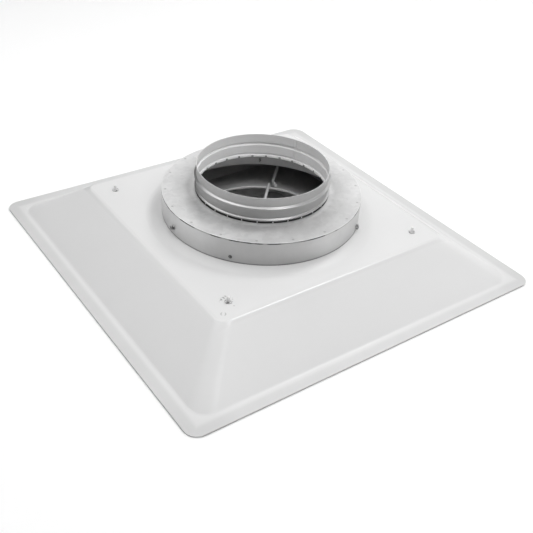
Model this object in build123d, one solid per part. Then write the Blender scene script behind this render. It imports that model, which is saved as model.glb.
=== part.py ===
from build123d import *
import math
import os

# Square-cone ceiling air diffuser with a duct reducer on its back. Millimetres.
# The origin is the centre of the face plane; +Z points up, towards the duct.

# Back pan: stamped sheet with a flat border, four slopes and a flat crown.
pan_side = 603.0
pan_corner_r = 19.5
pan_sheet = 0.8
hem_width = 10.0
border_width = 22.5
pan_height = 60.0
crown_side = 398.0
crown_corner_r = 17.0
slope_foot_corner_r = 26.0
crown_edge_r = 5.0
slope_foot_r = 7.0
crown_ring_rise = 4.0
crown_ring_width = 22.2
crown_ring_land = 2.2

# Neck ring and reducer drum, for a duct neck of 12 inches.
neck_r = 150.0
neck_sheet = 0.8
neck_length = 22.0
drum_sheet = 0.7
drum_above_crown = 41.0
drum_lip = 10.5
drum_bend_r = 1.2
plate_sheet = 0.8
spot_weld_count = 18
spot_weld_r = 2.0
spot_weld_depth = 0.25
spot_weld_inset = 5.5
spot_weld_start = 132.5

# Duct collar, for a duct of 8 inches: beads rolled outwards, tabs bent under the plate.
collar_r = 99.8
collar_sheet = 0.7
collar_height = 39.7
tab_count = 28
tab_slit = 1.2
tab_length = 8.0
tab_bend_r = 1.2
stop_bead_gap = 2.4
stop_bead_width = 4.8
stop_bead_rise = 2.5
grip_bead_below_top = 16.5
grip_bead_width = 6.2
grip_bead_rise = 3.4

# Screws through the drum and the neck ring (angle, height above the crown), and the rivet in
# the drum's seam.
screw_spots = ((56.0, 10.5), (178.0, 15.5), (306.0, 10.5))
screw_shank_r = 2.0
screw_length = 11.0
screw_tip = 3.0
screw_head_flats = 6.4
screw_head_height = 2.6
screw_washer_r = 4.0
screw_washer_height = 0.8
rivet_angle = -141.0
rivet_above_crown = 12.6
rivet_head_r = 2.8
rivet_head_height = 1.0
rivet_shank_r = 1.6

# Eyelets in the pan's crown, where the core's four prongs come through.
prong_from_crown_side = 33.5
wire_r = 2.38
eyelet_clearance = 0.08
eyelet_wall = 1.0
eyelet_flange_r = 5.0
eyelet_flange_height = 1.0
eyelet_foot_r = 4.6
eyelet_foot_height = 0.7

# Middle cone: square skirt, round throat with a rolled rim.
middle_side = 410.0
middle_corner_r = 24.0
face_gap = 2.0
cone_sheet = 0.8
cone_hem = 6.0
throat_r = 103.0
throat_below_crown = 17.0
rim_bead_r = 1.3
throat_cove_width = 4.0
throat_cove_drop = 4.5
throat_land_width = 4.0

# Centre cone: closed square dish under the throat.
centre_side = 236.0
centre_corner_r = 18.0
centre_top_side = 124.0
centre_top_corner_r = 16.0
centre_height = 26.0
cone_edge_r = 4.0

# Wires. Prongs stand in the eyelets, feet and crossings lie on the throat's rim.
prong_above_crown = 9.0
prong_bend_r = 4.8
prong_bend_below_crown = 5.5
knee_past_throat = 17.0
foot_past_throat = 2.6
foot_turn = 4.0
cross_wire_past_throat = 4.0
cross_wire_turn = 47.5
joggle_flat_r = 8.0
joggle_end_r = 24.0
joggle_bend_r = 7.0

# Strap over the wires' crossing that carries the centre cone.
strap_width = 20.0
strap_sheet = 1.0
strap_span = 40.0
strap_foot = 14.0
strap_bend_r = 1.5
stud_r = 2.0
stud_length = 9.0
nut_flats = 7.0
nut_height = 3.2

# Named clearances.
fit_gap = 0.05
hole_gap = 0.1

crown_under = pan_height - pan_sheet
hem_height = 2 * pan_sheet
slope_run = (pan_side - crown_side) / 2 - border_width
slope_rise = pan_height - hem_height
drum_inner_r = neck_r + neck_sheet + fit_gap
drum_outer_r = drum_inner_r + drum_sheet
drum_foot = pan_height + crown_ring_rise + fit_gap
drum_top = pan_height + drum_above_crown
crown_ring_land_r = drum_outer_r + crown_ring_land
crown_ring_r = crown_ring_land_r + crown_ring_width
plate_top = drum_top + plate_sheet
collar_top = plate_top + collar_height
plate_hole_r = collar_r + tab_bend_r + hole_gap
rivet_height = pan_height + rivet_above_crown
prong_place = crown_side / 2 - prong_from_crown_side
throat_height = pan_height - throat_below_crown
rim_top = throat_height + rim_bead_r
rim_wire_height = rim_top + wire_r


def rounded_square(side, corner_r, height):
    """A square with rounded corners, lying at the given height."""
    return Plane.XY.offset(height) * RectangleRounded(side, side, corner_r)


def flared(low_side, low_corner_r, low, high_side, high_corner_r, high):
    """A four-sided body with straight slopes between two rounded squares."""
    sections = [
        rounded_square(low_side, low_corner_r, low),
        rounded_square(high_side, high_corner_r, high),
    ]
    return loft(sections, ruled=True)


def edges_at(shape, height):
    """The edges that lie flat at one height."""
    return shape.edges().filter_by_position(Axis.Z, height - 0.01, height + 0.01)


def slope_inset(run, rise, sheet):
    """How far a slope's inside lies inwards of its outside, at one height."""
    return sheet * math.hypot(run, rise) / rise


def turned(profile_lines):
    """A closed outline in the XZ plane, turned about Z."""
    return revolve(make_face(profile_lines), Axis.Z)


def ring(inner_r, outer_r, low, high):
    """A plain ring between two heights."""
    whole = extrude(Plane.XY.offset(low) * Circle(outer_r), high - low)
    return whole - extrude(Plane.XY.offset(low - 1) * Circle(inner_r), high - low + 2)


def xz(r, z):
    """A point of a turned outline."""
    return (r, 0, z)


def s_curve(start, end, level=True):
    """A smooth step between two outline points, flat at both ends, or upright at both."""
    (r0, _, z0), (r1, _, z1) = start, end
    if level:
        middle = (r0 + r1) / 2
        return Bezier(start, xz(middle, z0), xz(middle, z1), end)
    middle = (z0 + z1) / 2
    return Bezier(start, xz(r0, middle), xz(r1, middle), end)


def round_wire(points, radii):
    """A wire bent to tangent arcs at the inner points of its path."""
    path = FilletPolyline(*points, radius=radii)
    start = Plane(origin=path @ 0, z_dir=path % 0)
    return sweep(start * Circle(wire_r), path=path)


def make_pan_outline(lift):
    """The pan's outer shape (lift 0) or the hollow under its sheet (lift = sheet)."""
    foot_side = pan_side - 2 * border_width
    inset = slope_inset(slope_run, slope_rise, pan_sheet) if lift else 0.0
    side_per_height = 2 * slope_run / slope_rise
    low = hem_height - lift
    high = pan_height - lift
    low_side = foot_side + side_per_height * lift - 2 * inset
    high_side = crown_side + side_per_height * lift - 2 * inset
    floor = extrude(rounded_square(pan_side + 20, pan_corner_r, low - 30), 30)
    hill = flared(low_side, slope_foot_corner_r - inset, low, high_side, crown_corner_r - inset, high)
    shape = floor + hill
    shape = fillet(edges_at(shape, high), crown_edge_r - lift)
    foot_edges = [
        edge
        for edge in edges_at(shape, low)
        if max(abs((edge @ 0.5).X), abs((edge @ 0.5).Y)) < low_side / 2 + 1
    ]
    return fillet(foot_edges, slope_foot_r + lift)


def crown_ring():
    """The raised ring round the neck opening, as a sheet."""
    inner = neck_r + neck_sheet + fit_gap
    land = crown_ring_land_r
    top = pan_height + crown_ring_rise
    outline = [
        Line(xz(crown_ring_r + 1, pan_height), xz(crown_ring_r, pan_height)),
        s_curve(xz(crown_ring_r, pan_height), xz(land, top)),
        Line(xz(land, top), xz(inner, top)),
        Line(xz(inner, top), xz(inner, top - pan_sheet)),
        Line(xz(inner, top - pan_sheet), xz(land, top - pan_sheet)),
        s_curve(xz(land, top - pan_sheet), xz(crown_ring_r, crown_under)),
        Line(xz(crown_ring_r, crown_under), xz(crown_ring_r + 1, crown_under)),
        Line(xz(crown_ring_r + 1, crown_under), xz(crown_ring_r + 1, pan_height)),
    ]
    return turned(outline)


def prong_places():
    """The four prongs stand near the crown's corners."""
    for turn in range(4):
        yield Rot(0, 0, 90 * turn) * Pos(prong_place, prong_place, 0)


def make_back_pan():
    blank = extrude(rounded_square(pan_side, pan_corner_r, 0), pan_height + 1)
    pan = (make_pan_outline(0) & blank) - make_pan_outline(pan_sheet)
    hem_inner_side = pan_side - 2 * hem_width
    hem = extrude(rounded_square(pan_side, pan_corner_r, 0), pan_sheet)
    hem -= extrude(rounded_square(hem_inner_side, pan_corner_r - hem_width / 2, 0), pan_sheet)
    pan += hem
    pan -= extrude(Plane.XY.offset(crown_under - 5) * Circle(crown_ring_r + 0.5), 20)
    pan += crown_ring()
    hole_r = wire_r + eyelet_clearance + eyelet_wall + fit_gap
    for place in prong_places():
        pan -= place * Pos(0, 0, pan_height) * Cylinder(hole_r, 10)
    return pan


def radial(angle, height):
    """A frame on the drum's wall: its Z points outwards along the radius."""
    out = (math.cos(math.radians(angle)), math.sin(math.radians(angle)), 0)
    origin = (drum_outer_r * out[0], drum_outer_r * out[1], height)
    return Plane(origin=origin, x_dir=(0, 0, 1), z_dir=out)


def radial_hole(angle, height, hole_r):
    """A drill through the drum's wall and the neck ring."""
    return radial(angle, height) * Cylinder(hole_r, 12)


def with_screw_holes(sheet):
    for angle, above_crown in screw_spots:
        sheet -= radial_hole(angle, pan_height + above_crown, screw_shank_r + fit_gap)
    sheet -= radial_hole(rivet_angle, rivet_height, rivet_shank_r + fit_gap)
    return sheet


def make_neck_ring():
    wall = ring(neck_r, neck_r + neck_sheet, pan_height, pan_height + neck_length)
    return with_screw_holes(wall)


def make_reducer_band():
    band = ring(drum_inner_r, drum_outer_r, drum_foot, drum_top)
    band += ring(drum_outer_r - drum_lip, drum_outer_r - drum_sheet / 2, drum_top - drum_sheet, drum_top)
    outer_edge = [e for e in edges_at(band, drum_top) if e.radius > drum_outer_r - 0.01]
    band = fillet(outer_edge, drum_bend_r)
    return with_screw_holes(band)


def make_reducer_plate():
    plate = ring(plate_hole_r, drum_outer_r, drum_top, plate_top)
    outer_edge = [e for e in edges_at(plate, plate_top) if e.radius > drum_outer_r - 0.01]
    plate = fillet(outer_edge, plate_sheet * 0.6)
    dimple_r = (spot_weld_r**2 + spot_weld_depth**2) / (2 * spot_weld_depth)
    weld_r = drum_outer_r - spot_weld_inset
    for index in range(spot_weld_count):
        angle = spot_weld_start + 360 / spot_weld_count * index
        centre = Rot(0, 0, angle) * Pos(weld_r, 0, plate_top - spot_weld_depth + dimple_r)
        plate -= centre * Sphere(dimple_r)
    return plate


def bead(r, low, width, rise):
    """Half of a rolled bead's outline up, half down again."""
    middle = low + width / 2
    up = s_curve(xz(r, low), xz(r + rise, middle), level=False)
    down = s_curve(xz(r + rise, middle), xz(r, low + width), level=False)
    return [up, down]


def collar_wall(r, foot):
    """One side of the collar's wall, from the tabs' bend up to the rim."""
    stop_low = plate_top + stop_bead_gap
    stop_high = stop_low + stop_bead_width
    grip_low = collar_top - grip_bead_below_top - grip_bead_width / 2
    grip_high = grip_low + grip_bead_width
    return [
        Line(xz(r, foot), xz(r, stop_low)),
        *bead(r, stop_low, stop_bead_width, stop_bead_rise),
        Line(xz(r, stop_high), xz(r, grip_low)),
        *bead(r, grip_low, grip_bead_width, grip_bead_rise),
        Line(xz(r, grip_high), xz(r, collar_top)),
    ]


def quarter_bend(centre_r, centre_height, bend_r):
    """The arc from a wall's foot to a tab that turns outwards."""
    slant = bend_r * math.sqrt(0.5)
    return ThreePointArc(
        xz(centre_r - bend_r, centre_height),
        xz(centre_r - slant, centre_height - slant),
        xz(centre_r, centre_height - bend_r),
    )


def make_duct_collar():
    inner = collar_r - collar_sheet
    tab_top = drum_top
    tab_under = tab_top - collar_sheet
    tab_end = collar_r + tab_length
    outer_bend = tab_bend_r + collar_sheet
    outline = [
        *collar_wall(collar_r, tab_top + tab_bend_r),
        Line(xz(collar_r, collar_top), xz(inner, collar_top)),
        *collar_wall(inner, tab_under + outer_bend),
        quarter_bend(inner + outer_bend, tab_under + outer_bend, outer_bend),
        Line(xz(inner + outer_bend, tab_under), xz(tab_end, tab_under)),
        Line(xz(tab_end, tab_under), xz(tab_end, tab_top)),
        Line(xz(tab_end, tab_top), xz(collar_r + tab_bend_r, tab_top)),
        quarter_bend(collar_r + tab_bend_r, tab_top + tab_bend_r, tab_bend_r),
    ]
    collar = turned(outline)
    slit_low = tab_under - 1
    slit_height = plate_top + stop_bead_gap * 0.8 - slit_low
    for index in range(tab_count):
        place = Rot(0, 0, 360 / tab_count * index) * Pos(collar_r + 4, 0, slit_low)
        slit = Box(16, tab_slit, slit_height, align=(Align.CENTER, Align.CENTER, Align.MIN))
        collar -= place * slit
    return collar


def make_band_screw(angle, above_crown):
    head_low = fit_gap
    washer = Pos(0, 0, head_low) * Cylinder(
        screw_washer_r, screw_washer_height, align=(Align.CENTER, Align.CENTER, Align.MIN)
    )
    head = extrude(
        Plane.XY.offset(head_low) * RegularPolygon(screw_head_flats / 2, 6, major_radius=False),
        screw_head_height + screw_washer_height,
    )
    head = chamfer(head.faces().sort_by(Axis.Z)[-1].edges(), 0.4)
    shank_length = screw_length - screw_tip
    shank = Pos(0, 0, head_low) * Cylinder(
        screw_shank_r, shank_length, align=(Align.CENTER, Align.CENTER, Align.MAX)
    )
    tip = Pos(0, 0, head_low - shank_length) * Cone(
        0.3, screw_shank_r, screw_tip, align=(Align.CENTER, Align.CENTER, Align.MAX)
    )
    return radial(angle, pan_height + above_crown) * (washer + head + shank + tip)


def make_band_rivet():
    shank_length = drum_sheet + neck_sheet + 1.6
    head = Pos(0, 0, fit_gap) * Cylinder(
        rivet_head_r, rivet_head_height, align=(Align.CENTER, Align.CENTER, Align.MIN)
    )
    head = fillet(head.faces().sort_by(Axis.Z)[-1].edges(), rivet_head_height * 0.7)
    shank = Pos(0, 0, fit_gap) * Cylinder(
        rivet_shank_r, shank_length, align=(Align.CENTER, Align.CENTER, Align.MAX)
    )
    return radial(rivet_angle, rivet_height) * (head + shank)


def make_corner_eyelet():
    bore_r = wire_r + eyelet_clearance
    shank_r = bore_r + eyelet_wall
    low = crown_under - eyelet_foot_height - fit_gap
    foot_top = crown_under - fit_gap
    flange_low = pan_height + fit_gap
    high = flange_low + eyelet_flange_height
    eyelet = ring(bore_r, shank_r, low, high)
    eyelet += ring(bore_r, eyelet_foot_r, low, foot_top)
    eyelet += ring(bore_r, eyelet_flange_r, flange_low, high)
    rims = [e for e in edges_at(eyelet, high) if e.radius > eyelet_flange_r - 0.01]
    return fillet(rims, eyelet_flange_height * 0.6)


def cone_shell(low_side, low_corner_r, low, high_side, high_corner_r, high):
    """A square cone of sheet: slopes and crown outside, the same shape hollow inside."""
    run = (low_side - high_side) / 2
    rise = high - low
    inset = slope_inset(run, rise, cone_sheet)
    side_per_height = 2 * run / rise
    below = 2.0
    outside = flared(low_side, low_corner_r, low, high_side, high_corner_r, high)
    outside = fillet(edges_at(outside, high), cone_edge_r)
    in_high = high - cone_sheet
    inside = flared(
        low_side + side_per_height * below - 2 * inset,
        low_corner_r - inset / 2,
        low - below,
        high_side + side_per_height * cone_sheet - 2 * inset,
        high_corner_r - inset / 2,
        in_high,
    )
    inside = fillet(edges_at(inside, in_high), cone_edge_r - cone_sheet)
    return outside - inside


def hem_ring(side, corner_r, low):
    """The double sheet round a cone's lower edge, turned inwards."""
    hem = extrude(rounded_square(side, corner_r, low - cone_sheet), cone_sheet)
    inner_side = side - 2 * cone_hem
    hem -= extrude(rounded_square(inner_side, corner_r - cone_hem / 2, low - cone_sheet), cone_sheet)
    return hem


def make_middle_cone():
    foot = face_gap + cone_sheet
    land = throat_height - throat_cove_drop
    cove_r = throat_r + throat_cove_width
    cove_end = cove_r + 0.5
    land_side = 2 * (cove_r + throat_land_width)
    land_corner_r = cove_r - throat_land_width
    shell = cone_shell(middle_side, middle_corner_r, foot, land_side, land_corner_r, land)
    shell += hem_ring(middle_side, middle_corner_r, foot)
    shell -= extrude(Plane.XY.offset(land - 10) * Circle(cove_r), 20)
    under = land - cone_sheet
    cove = [
        Line(xz(cove_end, land), xz(cove_r, land)),
        s_curve(xz(cove_r, land), xz(throat_r, throat_height)),
        Line(xz(throat_r, throat_height), xz(throat_r - cone_sheet, throat_height)),
        s_curve(xz(throat_r - cone_sheet, throat_height), xz(cove_r, under)),
        Line(xz(cove_r, under), xz(cove_end, under)),
        Line(xz(cove_end, under), xz(cove_end, land)),
    ]
    shell += turned(cove)
    return shell + Pos(0, 0, throat_height) * Torus(throat_r, rim_bead_r)


def make_centre_cone():
    foot = face_gap + cone_sheet
    shell = cone_shell(
        centre_side, centre_corner_r, foot, centre_top_side, centre_top_corner_r, centre_height
    )
    return shell + hem_ring(centre_side, centre_corner_r, foot)


def make_corner_wire():
    """Prong through the eyelet, run down to the throat's rim, foot welded along the rim."""
    knee = (throat_r + knee_past_throat) * math.sqrt(0.5)
    foot_r = throat_r + foot_past_throat
    foot_angle = math.radians(45 - foot_turn)
    rest = rim_wire_height + fit_gap
    points = [
        (prong_place, prong_place, pan_height + prong_above_crown),
        (prong_place, prong_place, pan_height - prong_bend_below_crown),
        (knee, knee, rest),
        (foot_r * math.cos(foot_angle), foot_r * math.sin(foot_angle), rest),
    ]
    wire = round_wire(points, prong_bend_r)
    return fillet(wire.faces().sort_by(Axis.Z)[-1].edges(), wire_r * 0.4)


def make_cross_wire(joggled):
    """A straight wire across the throat, or one that dips under the other at the crossing."""
    height = rim_wire_height + fit_gap
    end = throat_r + cross_wire_past_throat
    if not joggled:
        return Pos(0, 0, height) * Rot(0, 90, 0) * Cylinder(wire_r, 2 * end)
    dip = height - 2 * wire_r - fit_gap
    points = [
        (-end, 0, height),
        (-joggle_end_r, 0, height),
        (-joggle_flat_r, 0, dip),
        (joggle_flat_r, 0, dip),
        (joggle_end_r, 0, height),
        (end, 0, height),
    ]
    return round_wire(points, joggle_bend_r)


def stud_places():
    """The middles of the strap's two feet, on the centre cone's crown."""
    for side in (-1, 1):
        yield Pos(side * (strap_span / 2 + strap_sheet + strap_foot / 2), 0, centre_height)


def make_cone_hanger():
    """A hat-shaped strap over the crossing, its feet flat on the centre cone."""
    under = rim_top + 2 * wire_r + 2 * fit_gap
    foot = centre_height + fit_gap
    half = strap_span / 2
    foot_end = half + strap_sheet + strap_foot
    right_side = [
        (half, 0, under),
        (half, 0, foot),
        (foot_end, 0, foot),
        (foot_end, 0, foot + strap_sheet),
        (half + strap_sheet, 0, foot + strap_sheet),
        (half + strap_sheet, 0, under + strap_sheet),
    ]
    left_side = [(-x, y, z) for x, y, z in reversed(right_side)]
    outline = make_face(Polyline(*right_side, *left_side, close=True))
    strap = extrude(outline, strap_width / 2, both=True)
    shoulders = [
        edge
        for edge in strap.edges().filter_by(Axis.Y)
        if (edge @ 0.5).Z > under + strap_sheet - 0.01
    ]
    strap = fillet(shoulders, strap_bend_r)
    for place in stud_places():
        strap -= place * Cylinder(stud_r + hole_gap, 6)
    return strap


def make_cone_stud():
    """A stud welded upright on the centre cone's back."""
    stud = Cylinder(stud_r, stud_length, align=(Align.CENTER, Align.CENTER, Align.MIN))
    return chamfer(stud.faces().sort_by(Axis.Z)[-1].edges(), 0.4)


def make_hanger_nut():
    """A hexagon nut that clamps the strap's foot."""
    nut = extrude(RegularPolygon(nut_flats / 2, 6, major_radius=False), nut_height)
    nut = chamfer(nut.faces().sort_by(Axis.Z)[-1].edges(), 0.4)
    nut -= Cylinder(stud_r + fit_gap, 3 * nut_height)
    return Pos(0, 0, strap_sheet + 2 * fit_gap) * nut


parts = {
    "back_pan": make_back_pan(),
    "neck_ring": make_neck_ring(),
    "reducer_band": make_reducer_band(),
    "reducer_plate": make_reducer_plate(),
    "duct_collar": make_duct_collar(),
    "band_rivet": make_band_rivet(),
    "middle_cone": make_middle_cone(),
    "centre_cone": make_centre_cone(),
    "cross_wire_1": Rot(0, 0, cross_wire_turn) * make_cross_wire(joggled=False),
    "cross_wire_2": Rot(0, 0, cross_wire_turn + 90) * make_cross_wire(joggled=True),
    "cone_hanger": make_cone_hanger(),
}
for number, (angle, above_crown) in enumerate(screw_spots, 1):
    parts[f"band_screw_{number}"] = make_band_screw(angle, above_crown)
for number, place in enumerate(prong_places(), 1):
    parts[f"corner_eyelet_{number}"] = place * make_corner_eyelet()
for turn in range(4):
    parts[f"corner_wire_{turn + 1}"] = Rot(0, 0, 90 * turn) * make_corner_wire()
for number, place in enumerate(stud_places(), 1):
    parts[f"cone_stud_{number}"] = place * Pos(0, 0, fit_gap) * make_cone_stud()
    parts[f"hanger_nut_{number}"] = place * make_hanger_nut()

os.makedirs("parts", exist_ok=True)
for name, shape in parts.items():
    export_step(shape, f"parts/{name}.step")
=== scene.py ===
import math

import bmesh
import bpy
from mathutils import Matrix, Vector


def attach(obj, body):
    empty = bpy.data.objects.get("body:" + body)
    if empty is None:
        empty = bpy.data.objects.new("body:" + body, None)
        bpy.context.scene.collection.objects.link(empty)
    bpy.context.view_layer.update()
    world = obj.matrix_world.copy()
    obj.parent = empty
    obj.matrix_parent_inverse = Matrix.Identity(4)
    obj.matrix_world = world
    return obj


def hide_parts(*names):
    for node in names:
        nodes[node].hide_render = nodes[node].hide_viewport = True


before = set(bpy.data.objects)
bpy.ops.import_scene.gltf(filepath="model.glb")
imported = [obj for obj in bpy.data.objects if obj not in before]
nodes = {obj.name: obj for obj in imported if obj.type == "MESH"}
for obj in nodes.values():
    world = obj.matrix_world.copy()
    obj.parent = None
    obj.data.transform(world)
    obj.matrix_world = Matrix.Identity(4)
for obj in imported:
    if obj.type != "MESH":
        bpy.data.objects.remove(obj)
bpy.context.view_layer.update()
mm = 0.001


# ---------------------------------------------------------------------------
# Studio: white paper, a white backdrop that hardly lights the room, a wide softbox
# overhead, and four high and five low ones round it that draw the beads and sheet edges.
# The camera looks down on the duct side, over the front left corner of the pan.

scene = bpy.context.scene
scene.view_settings.view_transform = "Standard"

camera_azimuth = math.radians(-37.25)
camera_elevation = math.radians(35.78)
camera_roll = math.radians(3.96)
camera_distance = 1.25515
camera_aside = 0.01267
camera_lift = -0.03827
camera_lens = 53.08
camera_sensor = 36
camera_clip = (0.05, 50)

towards_camera = Vector((
    math.sin(camera_azimuth) * math.cos(camera_elevation),
    -math.cos(camera_azimuth) * math.cos(camera_elevation),
    math.sin(camera_elevation),
))
level_right = Vector((0, 0, 1)).cross(towards_camera).normalized()
level_up = towards_camera.cross(level_right)
camera_right = math.cos(camera_roll) * level_right + math.sin(camera_roll) * level_up
camera_up = math.cos(camera_roll) * level_up - math.sin(camera_roll) * level_right
camera_place = (
    towards_camera * camera_distance + camera_right * camera_aside + camera_up * camera_lift
)
camera_data = bpy.data.cameras.new("camera")
camera_data.lens = camera_lens
camera_data.sensor_width = camera_sensor
camera_data.clip_start, camera_data.clip_end = camera_clip
camera = bpy.data.objects.new("camera", camera_data)
scene.collection.objects.link(camera)
camera.matrix_world = Matrix((
    (camera_right.x, camera_up.x, towards_camera.x, camera_place.x),
    (camera_right.y, camera_up.y, towards_camera.y, camera_place.y),
    (camera_right.z, camera_up.z, towards_camera.z, camera_place.z),
    (0, 0, 0, 1),
))
scene.camera = camera

# name, heading round from +X in degrees, height in degrees, watts, side in metres
softboxes = (
    ("overhead_softbox", 0.0, 90, 25.8, 2.8),
    ("left_high_softbox", 142.8, 55, 20.0, 2.4),
    ("right_high_softbox", -82.0, 55, 18.2, 1.1),
    ("back_right_high_softbox", 18.0, 57, 13.2, 0.7),
    ("back_left_high_softbox", 98.0, 55, 4.3, 1.5),
    ("right_low_softbox", -37.2, 25, 11.0, 1.3),
    ("back_right_low_softbox", 8.0, 20, 6.0, 1.2),
    ("back_low_softbox", 52.8, 25, 7.8, 1.5),
    ("left_low_softbox", 142.8, 25, 4.4, 1.5),
    ("front_low_softbox", -127.2, 25, 1.6, 1.5),
)
softbox_distance = 2.6
lit_spot = Vector((0, 0, 0.05))
for name, heading, height, watts, side in softboxes:
    light_data = bpy.data.lights.new(name, "AREA")
    light_data.shape = "SQUARE"
    light_data.size = side
    light_data.energy = watts
    softbox = bpy.data.objects.new(name, light_data)
    flat = math.cos(math.radians(height)) * softbox_distance
    softbox.location = (
        flat * math.cos(math.radians(heading)),
        flat * math.sin(math.radians(heading)),
        math.sin(math.radians(height)) * softbox_distance,
    )
    softbox.rotation_euler = (lit_spot - softbox.location).to_track_quat("-Z", "Y").to_euler()
    softbox.visible_camera = False
    scene.collection.objects.link(softbox)

room_light = 0.04
backdrop_white = 1.0
world = bpy.data.worlds.new("dim_room")
world.use_nodes = True
room = world.node_tree.nodes["Background"]
room.inputs["Color"].default_value = (1, 1, 1, 1)
sees = world.node_tree.nodes.new("ShaderNodeLightPath")
backdrop = world.node_tree.nodes.new("ShaderNodeMapRange")
backdrop.inputs["To Min"].default_value = room_light
backdrop.inputs["To Max"].default_value = backdrop_white
world.node_tree.links.new(sees.outputs["Is Camera Ray"], backdrop.inputs["Value"])
world.node_tree.links.new(backdrop.outputs["Result"], room.inputs["Strength"])
scene.world = world

paper_side = 5
paper_drop = 0.6 * mm
paper_white = 0.985
bpy.ops.object.select_all(action="DESELECT")
bpy.ops.mesh.primitive_plane_add(size=paper_side, location=(0, 0, -paper_drop))
floor = bpy.context.object
floor.name = "studio_paper"
paper = bpy.data.materials.new("studio_paper")
paper.use_nodes = True
paper_shader = paper.node_tree.nodes["Principled BSDF"]
paper_shader.inputs["Base Color"].default_value = (paper_white, paper_white, paper_white, 1)
paper_shader.inputs["Roughness"].default_value = 0.95
paper_shader.inputs["Specular IOR Level"].default_value = 0.1
floor.data.materials.append(paper)


# ---------------------------------------------------------------------------
# Back pan: one square of 0.8 mm steel, pressed into a flat border, four slopes and a
# flat crown, its rim hemmed over. It has a white powder coat with a fine orange peel,
# rubbed shiny along the crown's edge. Painted shade makes it greyer on the border,
# towards the corners and on the hem's outer side.

coat_white = 0.742
coat_roughness = 0.38
coat_peel_scale = 950
coat_peel_height = 0.03 * mm
coat_cloud_scale = 17
coat_ripple_scale = 11
coat_ripple_height = 0.1 * mm

border_from = 281 * mm
border_whole = border_from + 9 * mm
border_shade_grey = 0.13
corner_from = 500 * mm  # of the distances from the two middle lines, added up
corner_whole = 590 * mm
corner_shade_grey = 0.07
hem_side_from = 300.9 * mm
hem_side_whole = hem_side_from + 0.4 * mm
hem_side_shade_grey = 0.4

scratch_ring = (-184.7 * mm, -183.6 * mm, 3.1 * mm)
ring_line = (1.3 * mm, 0.3 * mm)
ring_gap = (0.8 * mm, 2.8 * mm)
ring_gap_slant = (0.8, 0.6)
scratch_dot = (-163.6 * mm, -176.4 * mm, 1.3 * mm)
scratch_grey = 0.35
chipped_eyelet = (-166.0 * mm, -160.5 * mm)
chip_fade = (11 * mm, 7 * mm)
chip_grey = 0.5

crown_edge_band = (194.0 * mm, 196.5 * mm, 202.5 * mm, 205.0 * mm)
crown_edge_shine = 0.6
foot_edge_band = (276.0 * mm, 278.0 * mm, 282.0 * mm, 284.0 * mm)
foot_edge_shine = 0.15
shine_roughness = 0.1


class Socket:
    """A shader socket in a sum; node() adds any other node to the same tree."""

    def __init__(self, tree, socket=None):
        self.tree = tree
        self.socket = socket

    def node(self, kind, settings, inputs, output=0):
        """One node: its settings first, then its inputs' values and links."""
        added = self.tree.nodes.new("ShaderNode" + kind)
        for name, value in settings.items():
            setattr(added, name, value)
        for name, value in inputs.items():
            if isinstance(value, Socket):
                self.tree.links.new(value.socket, added.inputs[name])
            else:
                added.inputs[name].default_value = value
        return Socket(self.tree, added.outputs[output])

    def reckon(self, operation, other=0.0):
        return self.node("Math", {"operation": operation}, {0: self, 1: other})

    def __add__(self, other):
        return self.reckon("ADD", other)

    def __sub__(self, other):
        return self.reckon("SUBTRACT", other)

    def __rsub__(self, other):
        return self * -1.0 + other

    def __mul__(self, other):
        return self.reckon("MULTIPLY", other)

    def __truediv__(self, other):
        return self.reckon("DIVIDE", other)

    __radd__ = __add__
    __rmul__ = __mul__

    def ramp(self, low, high, start=0.0, end=1.0):
        """From start to end as this value goes from low to high, smoothly."""
        return self.node(
            "MapRange",
            {"interpolation_type": "SMOOTHSTEP", "clamp": True},
            {"Value": self, "From Min": low, "From Max": high, "To Min": start, "To Max": end},
        )

    def band(self, edges):
        """Whole between the two middle edges, fading out to the outer two."""
        start, whole, fading, end = edges
        return self.ramp(start, whole) * self.ramp(end, fading)

    def swing(self, depth):
        """A factor from 1 - depth to 1 + depth as this value goes from 0 to 1."""
        return 1 - depth + 2 * depth * self


class Finish:
    """A new material, its shader, and the place on the piece that patterns are laid by."""

    def __init__(self, name):
        self.material = bpy.data.materials.new(name)
        self.material.use_nodes = True
        self.tree = self.material.node_tree
        self.shader = self.tree.nodes["Principled BSDF"]
        self.start = Socket(self.tree)
        self.place = self.start.node("TexCoord", {}, {}, output="Object")
        axes = self.start.node("SeparateXYZ", {}, {"Vector": self.place})
        outputs = axes.socket.node.outputs
        self.x, self.y, self.z = (Socket(self.tree, outputs[name]) for name in "XYZ")

    def noise(self, scale, detail=2.0, stretch=None, roughness=0.5):
        place = self.place
        if stretch:
            place = self.start.node(
                "Mapping", {"vector_type": "POINT"}, {"Vector": place, "Scale": stretch}
            )
        return self.start.node(
            "TexNoise",
            {},
            {"Vector": place, "Scale": scale, "Detail": detail, "Roughness": roughness},
        )

    def radius(self):
        """Distance from the duct's axis."""
        return (self.x * self.x + self.y * self.y).reckon("SQRT")

    def heading(self):
        """Angle round the duct's axis, from +X."""
        return self.y.reckon("ARCTAN2", self.x)

    def bump(self, height, distance, strength=1.0, under=None):
        inputs = {"Height": height, "Distance": distance, "Strength": strength}
        if under:
            inputs["Normal"] = under
        return self.start.node("Bump", {}, inputs)

    def grey(self, tone):
        """A neutral colour from one tone."""
        return self.start.node("CombineColor", {}, {"Red": tone, "Green": tone, "Blue": tone})

    def set(self, **constants):
        for name, value in constants.items():
            self.shader.inputs[name.replace("_", " ").title()].default_value = value

    def link(self, name, value):
        self.tree.links.new(value.socket, self.shader.inputs[name])

    def lay_on(self, *names):
        for name in names:
            piece = nodes[name] if isinstance(name, str) else name
            piece.data.materials.clear()
            piece.data.materials.append(self.material)


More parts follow.
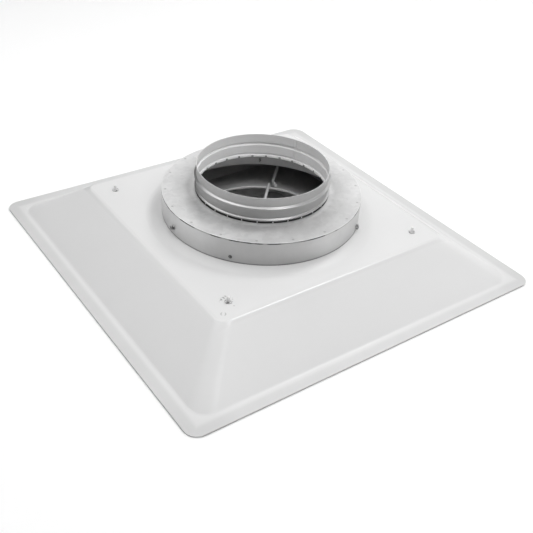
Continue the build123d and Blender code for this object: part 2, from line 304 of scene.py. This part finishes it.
def powder_coat(name, white):
    """White powder coat: orange peel, faint clouds, a slight ripple of the sheet under it."""
    coat = Finish(name)
    peel = coat.noise(coat_peel_scale, detail=1.5)
    cloud = coat.noise(coat_cloud_scale, detail=4.0)
    ripple = coat.noise(coat_ripple_scale, detail=1.0)
    coat.tone = white * cloud.swing(0.015) * peel.swing(0.006)
    coat.link("Roughness", coat_roughness - 0.05 + 0.1 * cloud)
    rippled = coat.bump(ripple, coat_ripple_height, 0.5)
    coat.link("Normal", coat.bump(peel, coat_peel_height, 0.35, under=rippled))
    return coat


def distance_from(finish, x, y):
    """Distance from an upright line through one spot."""
    across = finish.x - x
    along = finish.y - y
    return (across * across + along * along).reckon("SQRT")


pan_coat = powder_coat("white_powder_coat_pan", coat_white)
aside = pan_coat.x.reckon("ABSOLUTE")
ahead = pan_coat.y.reckon("ABSOLUTE")
reach = aside.reckon("MAXIMUM", ahead)
# Painted shade: the border greyer towards the rim, broken by noise, and greyer still towards the
# corners.
border_shade = reach.ramp(border_from, border_whole) * pan_coat.noise(24, 3.0).swing(0.3)
at_corner = (aside + ahead).ramp(corner_from, corner_whole)
# Painted shade on the hem's outer side.
hem_side = reach.ramp(hem_side_from, hem_side_whole)

ring_x, ring_y, ring_r = scratch_ring
slant_x, slant_y = ring_gap_slant
off_ring = (distance_from(pan_coat, ring_x, ring_y) - ring_r).reckon("ABSOLUTE")
off_gap = (pan_coat.x - ring_x) * slant_x - (pan_coat.y - ring_y) * slant_y
ring = off_ring.ramp(*ring_line) * off_gap.reckon("ABSOLUTE").ramp(*ring_gap)
dot_x, dot_y, dot_r = scratch_dot
scratches = ring + distance_from(pan_coat, dot_x, dot_y).ramp(dot_r, 0.4 * dot_r)
flakes = pan_coat.noise(290, 3.0).ramp(0.51, 0.59)
chips = distance_from(pan_coat, *chipped_eyelet).ramp(*chip_fade) * flakes
pan_coat.link("Base Color", pan_coat.grey(
    pan_coat.tone
    * (1.0 - border_shade_grey * border_shade)
    * (1.0 - corner_shade_grey * at_corner)
    * (1.0 - hem_side_shade_grey * hem_side)
    * (1.0 - scratch_grey * scratches)
    * (1.0 - chip_grey * chips)
))
crown_edge = reach.band(crown_edge_band)
foot_edge = reach.band(foot_edge_band)
pan_coat.link("Coat Weight", crown_edge_shine * crown_edge + foot_edge_shine * foot_edge)
pan_coat.set(coat_roughness=shine_roughness)
pan_coat.lay_on("back_pan")


# ---------------------------------------------------------------------------
# Neck ring, reducer drum and its top plate: plain galvanised sheet, rolled, screwed
# and spot welded. The zinc has a soft spangle, cloudy stains and fine roll lines.
# Painted shade darkens the drum and the plate on one side, the drum under the plate's
# lip and at its foot, and the plate near the collar and in the crevice round it; a
# painted highlight lightens the plate's outer edge.

zinc_tone = 0.66
zinc_roughness = 0.46
spangle_scale = 150
spangle_wander = 6 * mm
spangle_wander_scale = 220.0
roll_line_stretch = (14, 14, 1500)
roll_line_height = 0.03 * mm

drum_tone = 1.02 * zinc_tone
drum_lip_heights = (98.9 * mm, 99.5 * mm)
drum_lip_dark = 0.85
drum_foot_heights = (66.4 * mm, 65.0 * mm)
drum_foot_dark = 0.5
drum_shade_heading = -124
drum_side_shade = 0.24

neck_tone = 1.2 * zinc_tone

plate_tone = 1.13 * zinc_tone
weld_circle_r = 146.05 * mm
weld_first = math.radians(132.5)
weld_step = math.radians(20)
weld_mark_r = 2.3 * mm
weld_dark = 0.25
collar_shade_radii = (151 * mm, 98 * mm)
shade_lift_radii = (104 * mm, 113 * mm)
collar_shade_dark = 0.31
crevice_shade_radii = (102.0 * mm, 101.4 * mm)
crevice_shade_dark = 0.8
edge_highlight_radii = (150.6 * mm, 151.2 * mm)
edge_highlight_gain = 0.25
plate_shade_heading = -92
plate_shade_radii = (106 * mm, 130 * mm)
plate_side_shade = 0.22


def galvanised(name, tone, stain, sparkle, metallic=0.6):
    """Hot-dip zinc: spangle cells that each catch the light a little differently."""
    zinc = Finish(name)
    wander = zinc.start.node(
        "TexNoise",
        {},
        {"Vector": zinc.place, "Scale": spangle_wander_scale, "Detail": 2.0},
        output="Color",
    )
    wandered = zinc.start.node(
        "VectorMath",
        {"operation": "MULTIPLY_ADD"},
        {0: wander, 1: (spangle_wander,) * 3, 2: zinc.place},
    )
    cells = zinc.start.node(
        "TexVoronoi", {}, {"Vector": wandered, "Scale": spangle_scale}, output="Color"
    )
    spangle = zinc.start.node("SeparateColor", {}, {"Color": cells})
    cloud = zinc.noise(19, detail=5.0, roughness=0.6)
    fine = zinc.noise(520, detail=3.0)
    lines = zinc.noise(1.0, detail=3.0, stretch=roll_line_stretch)
    zinc.tone = (
        tone * spangle.swing(sparkle) * cloud.swing(stain) * fine.swing(0.02) * lines.swing(0.03)
    )
    zinc.link("Roughness", zinc_roughness - 0.06 + 0.08 * spangle + 0.08 * fine)
    lined = zinc.bump(lines, roll_line_height, 0.4)
    zinc.link("Normal", zinc.bump(fine, roll_line_height, 0.4, under=lined))
    zinc.set(metallic=metallic)
    return zinc


def shaded_side(zinc, heading, start):
    """A mask for painted shade on one side, whole at one heading from the axis."""
    heading = math.radians(heading)
    towards = zinc.x * math.cos(heading) + zinc.y * math.sin(heading)
    return (towards / zinc.radius()).ramp(start, 1.0)


def off_nearest(steps):
    """How far a number of steps is from the nearest whole one, from -0.5 to 0.5."""
    spare_steps = 30  # more than a turn holds, so the sum is never below 0
    return (steps + (spare_steps + 0.5)).reckon("FRACT") - 0.5


drum_zinc = galvanised("galvanised_drum", drum_tone, stain=0.13, sparkle=0.02, metallic=0.95)
seam_break = drum_zinc.noise(38, detail=3.0).ramp(0.42, 0.52)
lip_shade = drum_zinc.z.ramp(*drum_lip_heights) * (0.3 + 0.7 * seam_break)
foot_shade = drum_zinc.z.ramp(*drum_foot_heights)
# Painted shade: the drum darker under the plate's lip, at its foot and on one side.
drum_zinc.link("Base Color", drum_zinc.grey(
    drum_zinc.tone
    * (1.0 - drum_lip_dark * lip_shade)
    * (1.0 - drum_foot_dark * foot_shade)
    * (1.0 - drum_side_shade * shaded_side(drum_zinc, drum_shade_heading, 0.8))
))
drum_zinc.lay_on("reducer_band")

neck_zinc = galvanised("galvanised_neck", neck_tone, stain=0.04, sparkle=0.01, metallic=0.2)
neck_zinc.link("Base Color", neck_zinc.grey(neck_zinc.tone))
neck_zinc.lay_on("neck_ring")

plate_zinc = galvanised("galvanised_plate", plate_tone, stain=0.15, sparkle=0.05)
from_axis = plate_zinc.radius()
weld_steps = (plate_zinc.heading() - weld_first) / weld_step
along = off_nearest(weld_steps) * (weld_step * weld_circle_r)
across = from_axis - weld_circle_r
weld_gap = along * along + across * across
weld_mark = weld_gap.ramp(weld_mark_r**2, (0.6 * weld_mark_r) ** 2)
# Painted shade near the collar, broken by noise and lifted again close to the collar's foot.
collar_shade_cloud = plate_zinc.noise(34, detail=4.0).ramp(0.3, 0.62)
shade_lift_ring = from_axis.ramp(*shade_lift_radii, 0.1, 1.0)
collar_shade = from_axis.ramp(*collar_shade_radii) * (0.8 + 0.3 * collar_shade_cloud) * shade_lift_ring
# Painted highlight along the plate's outer edge.
edge_highlight = from_axis.ramp(*edge_highlight_radii)
# Painted shade in the crevice round the collar's foot.
crevice_shade = from_axis.ramp(*crevice_shade_radii)
# Painted shade on one side of the plate, growing away from the collar.
plate_side_shade_mask = shaded_side(plate_zinc, plate_shade_heading, 0.45) * from_axis.ramp(*plate_shade_radii)
plate_zinc.link("Base Color", plate_zinc.grey(
    plate_zinc.tone
    * (1.0 - weld_dark * weld_mark)
    * (1.0 - collar_shade_dark * collar_shade)
    * (1.0 - crevice_shade_dark * crevice_shade)
    * (1.0 + edge_highlight_gain * edge_highlight)
    * (1.0 - plate_side_shade * plate_side_shade_mask)
))
plate_zinc.lay_on("reducer_plate")


# ---------------------------------------------------------------------------
# Duct collar: a strip of galvanised sheet rolled round and lap seamed, two beads
# swaged outwards in it, and its foot cut into tabs that are bent out under the plate.
# Its inside is painted lighter than its outside, as painted light. Painted highlights
# brighten the beads and the tabs' bend inside, and painted shade darkens the gap under
# the lower bead and each slit inside.

collar_wall_r = 100 * mm
lower_bead_band = (103.8 * mm, 104.6 * mm, 108.4 * mm, 109.2 * mm)
upper_bead_band = (121.6 * mm, 122.6 * mm, 127.4 * mm, 128.6 * mm)
bead_highlight_gain = 0.16
under_bead_shade_heights = (103.7 * mm, 103.2 * mm)
under_bead_shade_dark = 0.85
inside_light_gain = 1.55
outside_shade_drop = 0.85
slit_count = 28
slit_shade_half = 2.4 * mm
slit_shade_dark = 0.75
tab_bend_heights = (104.4 * mm, 103.6 * mm)
tab_bend_highlight_gain = 0.3

collar_zinc = galvanised("galvanised_collar", zinc_tone, stain=0.04, sparkle=0.015)
facing = collar_zinc.start.node("NewGeometry", {}, {}, output="Normal")
from_centre = collar_zinc.start.node(
    "VectorMath",
    {"operation": "MULTIPLY"},
    {0: collar_zinc.place, 1: (1 / collar_wall_r, 1 / collar_wall_r, 0.0)},
)
outward = collar_zinc.start.node(
    "VectorMath", {"operation": "DOT_PRODUCT"}, {0: facing, 1: from_centre}, output="Value"
)
outside = outward.ramp(-0.1, 0.1)
# Painted shade in the gap under the lower bead.
under_bead_shade = outside * collar_zinc.z.ramp(*under_bead_shade_heights)
# Burnished beads: less rough, and lighter as a painted highlight.
bead_burnish_and_highlight = outside * (
    collar_zinc.z.band(lower_bead_band) + collar_zinc.z.band(upper_bead_band)
)
slit_steps = collar_zinc.heading() * (slit_count / math.tau)
slit_spacing = math.tau / slit_count * collar_wall_r
beside_slit = off_nearest(slit_steps).reckon("ABSOLUTE") * slit_spacing
# Painted highlight on the tabs' bend inside the collar.
inner_foot = (1.0 - outside) * collar_zinc.z.ramp(*tab_bend_heights)
# Painted shade at each slit inside the collar.
slit_shade = inner_foot * beside_slit.ramp(slit_shade_half, 0.5 * slit_shade_half)
# Painted light: the collar's inside lighter than its outside.
collar_zinc.link("Base Color", collar_zinc.grey(
    collar_zinc.tone
    * (inside_light_gain - outside_shade_drop * outside)
    * (1.0 + bead_highlight_gain * bead_burnish_and_highlight)
    * (1.0 - under_bead_shade_dark * under_bead_shade)
    * (1.0 + tab_bend_highlight_gain * inner_foot)
    * (1.0 - slit_shade_dark * slit_shade)
))
collar_zinc.link("Metallic", 0.2 + 0.6 * outside)
collar_zinc.link("Roughness", 0.44 - 0.1 * bead_burnish_and_highlight)
collar_zinc.lay_on("duct_collar")


# ---------------------------------------------------------------------------
# Collar seam: the two ends of the collar's galvanised strip overlap in one lap and are
# spot welded. It shows inside the collar, as a narrow band of the wall's own section
# that stands in from the wall by half the sheet.

seam_heading = math.radians(23.5)
seam_half_width = 2.2 * mm
seam_low = 104.6 * mm
seam_shrink = 1 / 1.0035
merge_distance = 0.001 * mm


def choose(*pieces):
    """Select these objects only, with the first one active."""
    bpy.ops.object.select_all(action="DESELECT")
    for piece in pieces:
        piece.select_set(True)
    bpy.context.view_layer.objects.active = pieces[0]


def edit(piece):
    """Into edit mode on one piece, with all of it selected."""
    choose(piece)
    bpy.ops.object.mode_set(mode="EDIT")
    bpy.ops.mesh.select_all(action="SELECT")


def done():
    bpy.ops.object.mode_set(mode="OBJECT")


def cut(point, normal):
    """Cut the selected mesh on a plane, close it, and drop what lies along the normal."""
    bpy.ops.mesh.select_all(action="SELECT")
    bpy.ops.mesh.bisect(plane_co=point, plane_no=normal, use_fill=True, clear_outer=True)


def own_copy(piece, name):
    """A copy of a piece, with its own mesh."""
    twin = piece.copy()
    twin.data = piece.data.copy()
    twin.name = name
    scene.collection.objects.link(twin)
    return twin


seam_out = Vector((math.cos(seam_heading), math.sin(seam_heading), 0))
seam_side = Vector((-seam_out.y, seam_out.x, 0))
collar_seam = own_copy(nodes["duct_collar"], "collar_seam")
edit(collar_seam)
bpy.ops.mesh.remove_doubles(threshold=merge_distance)
cut(seam_side * seam_half_width, seam_side)
cut(seam_side * -seam_half_width, -seam_side)
cut((0, 0, 0), -seam_out)
cut((0, 0, seam_low), (0, 0, -1))
bpy.ops.mesh.select_all(action="SELECT")
bpy.ops.transform.resize(value=(seam_shrink, seam_shrink, 1), center_override=(0, 0, 0))
done()
collar_zinc.lay_on(collar_seam)
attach(collar_seam, "pan")


# ---------------------------------------------------------------------------
# Slit burrs: the punch that slits the collar's foot into tabs lifts a small burr of clean
# bright metal at the head of each slit. They stand outside the wall, in the crevice
# between the top plate and the lower bead.

burr_low = 101.95 * mm
burr_height = 2.0 * mm
burr_width = 1.5 * mm
burr_depth = 0.9 * mm
burr_round = 0.25 * mm
burr_out = 100.15 * mm
burr_tone = 0.9


def settle():
    """Put the selected pieces' place, turn and scale into their meshes."""
    bpy.ops.object.transform_apply(location=True, rotation=True, scale=True)


bpy.ops.object.select_all(action="DESELECT")
bpy.ops.mesh.primitive_cube_add(size=1, location=(burr_out, 0, burr_low + burr_height / 2))
burr = bpy.context.object
burr.scale = (burr_depth, burr_width, burr_height)
settle()
edit(burr)
bpy.ops.mesh.bevel(offset=burr_round, segments=2)
for index in range(1, slit_count):
    bpy.ops.mesh.duplicate()
    bpy.ops.transform.rotate(
        value=-math.tau / slit_count, orient_axis="Z", center_override=(0, 0, 0)
    )
done()
burr.name = "collar_slit_burrs"
burr_zinc = galvanised(
    "bright_sheared_zinc", burr_tone, stain=0.03, sparkle=0.02, metallic=0.3
)
burr_zinc.link("Base Color", burr_zinc.grey(burr_zinc.tone))
burr_zinc.lay_on(burr)
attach(burr, "pan")


# ---------------------------------------------------------------------------
# Screws: three self-drilling screws with indented hex-washer heads, driven through the
# drum's wall and the neck ring. Pressed and rolled steel with a dulled zinc plate.

screw_tone = 0.65
drum_outer_r = 151.55 * mm
screw_spots = (("1", 56.0, 70.5 * mm), ("2", 178.0, 75.5 * mm), ("3", 306.0, 70.5 * mm))
seat_gap = 0.05 * mm
washer_r = 4.0 * mm
washer_height = 0.8 * mm
washer_round = 0.25 * mm
head_corner_r = 3.695 * mm
head_low = 0.3 * mm
head_height = 3.4 * mm
head_round = 0.3 * mm
head_rim = 0.75 * mm
head_dish = 1.0 * mm
head_dish_floor = 0.5 * mm
core_r = 1.5 * mm
shank_top = 0.4 * mm
shank_length = 8.0 * mm
tip_length = 3.0 * mm
tip_shrink = 0.12
thread_tooth_r = 0.5 * mm
thread_out = 0.1 * mm
thread_start = 0.6 * mm
thread_pitch = 1.4 * mm
thread_turns = 6
thread_steps = 16
smooth_angle = math.radians(32)


def plated_steel(name, tone, oil):
    """Dulled zinc plate on a small turned part, with drops of oil dried on it."""
    plate = Finish(name)
    cloud = plate.noise(700, detail=3.0)
    drops = plate.noise(330, detail=2.0).ramp(0.42, 0.56)
    plate.link("Base Color", plate.grey(tone * cloud.swing(0.3) * (1.0 - oil * drops)))
    plate.link("Roughness", 0.26 + 0.2 * cloud)
    plate.link("Normal", plate.bump(cloud, 0.05 * mm, 0.4))
    plate.set(metallic=0.7)
    return plate


def pick_faces(piece, wanted):
    """In edit mode, select only the faces that wanted() says."""
    bpy.ops.mesh.select_all(action="DESELECT")
    bpy.ops.mesh.select_mode(type="FACE")
    shape = bmesh.from_edit_mesh(piece.data)
    shape.normal_update()
    for face in shape.faces:
        face.select_set(wanted(face))
    bmesh.update_edit_mesh(piece.data)


def is_top(face):
    return face.normal.z > 0.9


def is_end(face):
    return face.normal.z < -0.9


def extrude(rise):
    """Extrude the selected faces along Z."""
    bpy.ops.mesh.extrude_region_move(TRANSFORM_OT_translate={"value": (0, 0, rise)})


def cylinder(corners, radius, low, high):
    """A fresh cylinder on the Z axis, in edit mode."""
    bpy.ops.object.select_all(action="DESELECT")
    bpy.ops.mesh.primitive_cylinder_add(
        vertices=corners, radius=radius, depth=high - low, location=(0, 0, (low + high) / 2)
    )
    fresh = bpy.context.object
    edit(fresh)
    return fresh


def join(name, *lumps):
    """One object of several, at the origin, with its place in its mesh."""
    choose(*lumps)
    if len(lumps) > 1:
        bpy.ops.object.join()
    settle()
    lumps[0].name = name
    return lumps[0]


def place_on_wall(piece, heading, height):
    """Turn a piece from the Z axis to stand out of the drum's wall, and settle it there."""
    heading = math.radians(heading)
    piece.rotation_euler = (0, math.radians(90), heading)
    piece.location = (
        drum_outer_r * math.cos(heading), drum_outer_r * math.sin(heading), height
    )
    choose(piece)
    settle()


washer = cylinder(40, washer_r, seat_gap, washer_height)
pick_faces(washer, is_top)
bpy.ops.mesh.bevel(offset=washer_round, segments=2)
done()

head = cylinder(6, head_corner_r, head_low, head_height)
pick_faces(head, is_top)
bpy.ops.mesh.bevel(offset=head_round, segments=2)
pick_faces(head, is_top)
bpy.ops.mesh.inset(thickness=head_rim)
extrude(-head_dish)
bpy.ops.mesh.inset(thickness=head_dish_floor)
done()

shank = cylinder(16, core_r, -shank_length, shank_top)
pick_faces(shank, is_end)
extrude(-tip_length)
bpy.ops.transform.resize(value=(tip_shrink, tip_shrink, 1))
done()

bpy.ops.object.select_all(action="DESELECT")
bpy.ops.mesh.primitive_circle_add(
    vertices=3,
    radius=thread_tooth_r,
    location=(core_r + thread_out, 0, -thread_pitch * thread_turns - thread_start),
    rotation=(math.radians(90), 0, 0),
)
thread = bpy.context.object
settle()
turns = thread.modifiers.new("turns", "SCREW")
turns.angle = math.radians(360)
turns.screw_offset = thread_pitch
turns.iterations = thread_turns
turns.steps = thread_steps
turns.render_steps = thread_steps
bpy.ops.object.modifier_apply(modifier="turns")
edit(thread)
bpy.ops.mesh.normals_make_consistent(inside=False)
done()

screw = join("band_screw_first", washer, head, shank, thread)
bpy.ops.object.shade_smooth_by_angle(angle=smooth_angle)
plated_steel("screw_zinc", screw_tone, oil=0.65).lay_on(screw)
for number, heading, height in screw_spots:
    driven = own_copy(screw, "drum_screw_" + number)
    place_on_wall(driven, heading, height)
    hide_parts("band_screw_" + number)
    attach(driven, "pan")
bpy.data.objects.remove(screw)


# ---------------------------------------------------------------------------
# Rivet: one blind rivet in the drum's lap seam. Its pulled stem leaves a small hole in
# the dome, and its far end is bulged behind the sheets.

rivet_heading = -141.0
rivet_height = 72.6 * mm
rivet_tone = 0.16
rivet_head_r = 2.8 * mm
rivet_head_edge = 0.35 * mm
rivet_dome = ((0.35 * mm, 0.86), (0.28 * mm, 0.76), (0.12 * mm, 0.7))
rivet_hole_rim = 0.3 * mm
rivet_hole_depth = 0.7 * mm
rivet_shank_r = 1.6 * mm
rivet_shank_top = 0.1 * mm
rivet_shank_length = 4.0 * mm
rivet_bulge = 1.35
rivet_bulge_round = 0.5 * mm

rivet = cylinder(32, rivet_head_r, seat_gap, rivet_head_edge)
for rise, shrink in rivet_dome:
    pick_faces(rivet, is_top)
    extrude(rise)
    bpy.ops.transform.resize(value=(shrink, shrink, 1))
bpy.ops.mesh.inset(thickness=rivet_hole_rim)
extrude(-rivet_hole_depth)
done()
rivet_shank = cylinder(24, rivet_shank_r, -rivet_shank_length, rivet_shank_top)
pick_faces(rivet_shank, is_end)
bpy.ops.transform.resize(value=(rivet_bulge, rivet_bulge, 1))
bpy.ops.mesh.bevel(offset=rivet_bulge_round, segments=2)
done()
rivet = join("drum_rivet", rivet, rivet_shank)
bpy.ops.object.shade_smooth_by_angle(angle=smooth_angle)
place_on_wall(rivet, rivet_heading, rivet_height)
plated_steel("rivet_zinc", rivet_tone, oil=0.4).lay_on(rivet)
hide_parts("band_rivet")
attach(rivet, "pan")


# ---------------------------------------------------------------------------
# Corner eyelets: four turned steel eyelets with a zinc plate, pressed into holes in the
# pan's crown to grip the core's wires. They are spotted all over, and painted shade
# darkens their foot.

eyelet_tone = 0.62
eyelet_foot_heights = (60.75 * mm, 60.2 * mm)
eyelet_foot_dark = 0.75
eyelet_spot_dark = 0.7

eyelet_zinc = Finish("eyelet_zinc")
# Painted shade round the eyelets' foot.
eyelet_foot_shade = eyelet_zinc.z.ramp(*eyelet_foot_heights)
eyelet_fine = eyelet_zinc.noise(600, detail=2.0)
eyelet_spots = eyelet_zinc.noise(260, detail=3.0).ramp(0.5, 0.6)
eyelet_zinc.link("Base Color", eyelet_zinc.grey(
    (eyelet_tone + 0.1 * eyelet_fine)
    * (1.0 - eyelet_foot_dark * eyelet_foot_shade)
    * (1.0 - eyelet_spot_dark * eyelet_spots)
))
eyelet_zinc.link("Roughness", 0.4 + 0.15 * eyelet_fine)
eyelet_zinc.set(metallic=0.35)
eyelet_zinc.lay_on(*(f"corner_eyelet_{number}" for number in range(1, 5)))


# ---------------------------------------------------------------------------
# Middle and centre cones: two square cones pressed from the same steel sheet as the pan,
# their rims hemmed and the middle one's throat rolled round. They have the same powder
# coat, with painted shade making it greyer where a face looks up.

cone_top_shade = 0.14

cone_coat = powder_coat("white_powder_coat_cones", coat_white)
cone_facing = cone_coat.start.node("NewGeometry", {}, {}, output="Normal")
upward = cone_coat.start.node("SeparateXYZ", {}, {"Vector": cone_facing}, output="Z")
# Painted shade: faces that look up are greyer.
cone_coat.link(
    "Base Color", cone_coat.grey(cone_coat.tone * (1.0 - cone_top_shade * upward.ramp(0.05, 0.4)))
)
cone_coat.lay_on("middle_cone", "centre_cone")


# ---------------------------------------------------------------------------
# Wires, strap, studs and nuts: bright drawn 4.8 mm wire, spot welded to the rolled rim
# where it crosses. The centre cone hangs from a folded strap over the crossing, held
# on two weld studs by small hexagon nuts.

wire_tone = 0.74
nut_tone = 0.6

wire_zinc = Finish("bright_drawn_wire")
wire_fine = wire_zinc.noise(420, detail=3.0)
wire_zinc.link("Base Color", wire_zinc.grey(wire_tone + 0.2 * wire_fine))
wire_zinc.link("Roughness", 0.36 + 0.2 * wire_fine)
wire_zinc.set(metallic=0.35)
wire_zinc.lay_on(*(f"corner_wire_{number}" for number in range(1, 5)))
wire_zinc.lay_on("cross_wire_1", "cross_wire_2", "cone_hanger")

plated_steel("nut_zinc", nut_tone, oil=0.3).lay_on(
    "cone_stud_1", "cone_stud_2", "hanger_nut_1", "hanger_nut_2"
)
